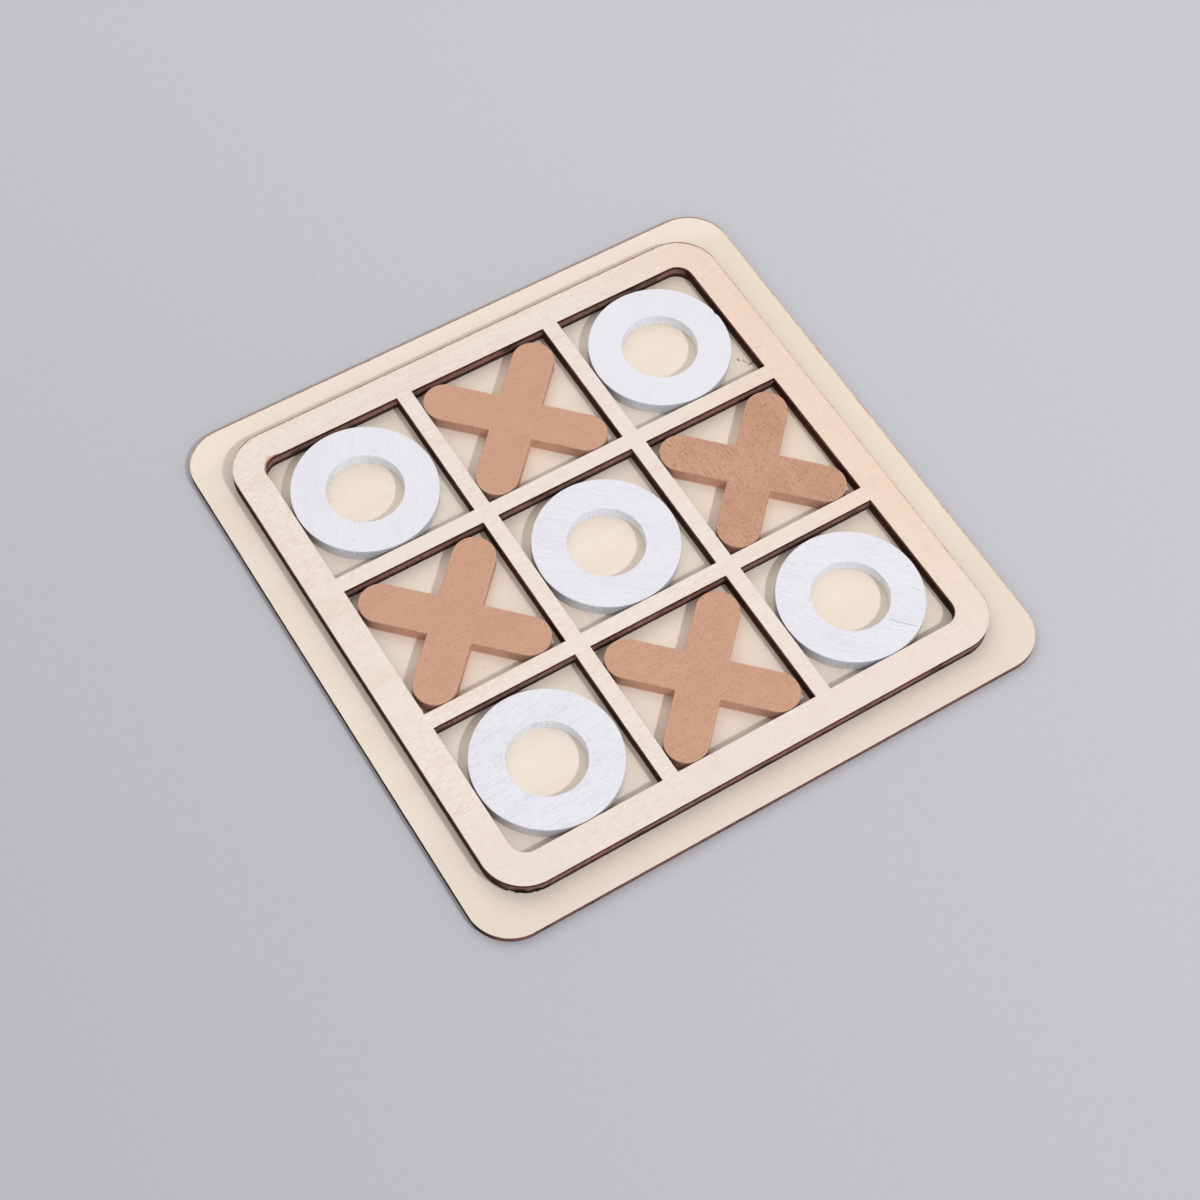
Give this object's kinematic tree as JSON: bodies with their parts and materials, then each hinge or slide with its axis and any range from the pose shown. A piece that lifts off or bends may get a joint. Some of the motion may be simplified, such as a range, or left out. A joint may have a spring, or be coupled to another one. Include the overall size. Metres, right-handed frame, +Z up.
{
  "type": "tic tac toe set",
  "caption": "Square plywood board with a raised plywood grid of three by three cells, and loose painted wooden rings and crosses lying in the cells.",
  "frame": {"origin": "middle of the base board's underside, on the surface that the set lies on", "axes": "+Z up out of the board, through the pieces; +X to the right and +Y to the back, along the board's sides"},
  "size_m": [0.15, 0.15, 0.006],
  "materials": {
    "base_plywood": "thin three-ply sheet with pale cream faces, unfinished, with dark brown laser-cut edges",
    "grid_plywood": "three-ply sheet with pale pinkish cream faces and fine straight grain, unfinished, with dark brown laser-cut edges in three bands",
    "white_paint": "solid wood under thin matt cool white paint, with the grain showing as fine grey streaks",
    "tan_paint": "solid wood under thin matt tan paint, with fine short pores showing"
  },
  "bodies": {
    "board": {"base_board": "base_plywood", "grid_frame": "grid_plywood"},
    "ring_back_left": {"ring_back_left": "white_paint"},
    "ring_back_right": {"ring_back_right": "white_paint"},
    "ring_centre": {"ring_centre": "white_paint"},
    "ring_front_left": {"ring_front_left": "white_paint"},
    "ring_front_right": {"ring_front_right": "white_paint"},
    "cross_back": {"cross_back": "tan_paint"},
    "cross_left": {"cross_left": "tan_paint"},
    "cross_right": {"cross_right": "tan_paint"},
    "cross_front": {"cross_front": "tan_paint"}
  },
  "joints": [
    {"name": "lift_ring_back_left", "type": "slide", "parent": "board", "child": "ring_back_left", "axis": [0, 0, 1], "range_m": [0, 0.03]},
    {"name": "lift_ring_back_right", "type": "slide", "parent": "board", "child": "ring_back_right", "axis": [0, 0, 1], "range_m": [0, 0.03]},
    {"name": "lift_ring_centre", "type": "slide", "parent": "board", "child": "ring_centre", "axis": [0, 0, 1], "range_m": [0, 0.03]},
    {"name": "lift_ring_front_left", "type": "slide", "parent": "board", "child": "ring_front_left", "axis": [0, 0, 1], "range_m": [0, 0.03]},
    {"name": "lift_ring_front_right", "type": "slide", "parent": "board", "child": "ring_front_right", "axis": [0, 0, 1], "range_m": [0, 0.03]},
    {"name": "lift_cross_back", "type": "slide", "parent": "board", "child": "cross_back", "axis": [0, 0, 1], "range_m": [0, 0.03]},
    {"name": "lift_cross_left", "type": "slide", "parent": "board", "child": "cross_left", "axis": [0, 0, 1], "range_m": [0, 0.03]},
    {"name": "lift_cross_right", "type": "slide", "parent": "board", "child": "cross_right", "axis": [0, 0, 1], "range_m": [0, 0.03]},
    {"name": "lift_cross_front", "type": "slide", "parent": "board", "child": "cross_front", "axis": [0, 0, 1], "range_m": [0, 0.03]}
  ]
}
